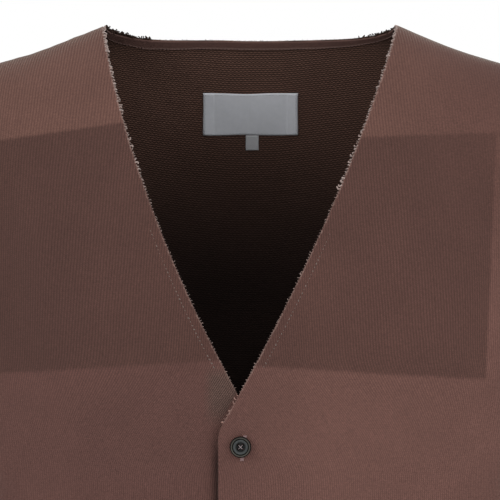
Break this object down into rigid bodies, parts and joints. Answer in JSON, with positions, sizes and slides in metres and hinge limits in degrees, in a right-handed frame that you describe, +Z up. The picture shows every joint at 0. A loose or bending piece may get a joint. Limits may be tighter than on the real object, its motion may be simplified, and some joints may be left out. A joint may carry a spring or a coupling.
{
  "type": "v-neck cardigan",
  "caption": "V-neck knitted cardigan in worn, hollow form: lapped and buttoned front, long sleeves, taped back neck and a plain woven label.",
  "frame": {"origin": "midway between the two high shoulder points, where the neck meets the shoulder seams, at their height", "axes": "+Z up, -Y out of the front, +X to the wearer's left, across the spread of the sleeves"},
  "size_m": [0.8852, 0.2448, 0.6908],
  "materials": {
    "knit": "fine washed wool knit",
    "tape": "narrow knitted tape",
    "label": "plain woven label",
    "tab": "plain woven tab",
    "button": "polished dark horn look"
  },
  "bodies": {
    "root": {"front_left": "knit", "front_right": "knit", "back": "knit", "sleeve_left": "knit", "sleeve_right": "knit", "neck_tape": "tape", "label": "label", "label_tab": "tab", "button_1": "button", "button_2": "button", "button_3": "button", "button_4": "button", "button_5": "button"}
  },
  "joints": []
}
